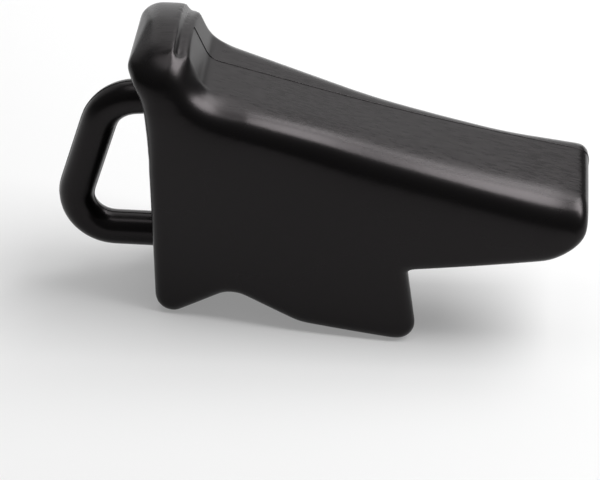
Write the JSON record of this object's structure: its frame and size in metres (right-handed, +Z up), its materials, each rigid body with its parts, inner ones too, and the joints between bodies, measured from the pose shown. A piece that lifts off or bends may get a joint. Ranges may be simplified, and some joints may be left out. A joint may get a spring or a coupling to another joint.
{
  "type": "mower mulching plug",
  "caption": "Wedge-shaped moulded plug with a raised crest, a stepped underside and a tube grip; it is pushed into a mower's discharge chute to close it for mulching.",
  "frame": {"origin": "middle of the bottom of its bounding box, on the plane that its feet stand on", "axes": "+X from the grip to the nose, +Z up as it stands on its feet, +Y across to the far side"},
  "size_m": [0.3866, 0.1206, 0.2195],
  "materials": {
    "black_plastic": "satin black, slightly glossy, with fine lengthwise scuffs"
  },
  "bodies": {
    "root": {"mulching_plug": "black_plastic"}
  },
  "joints": []
}
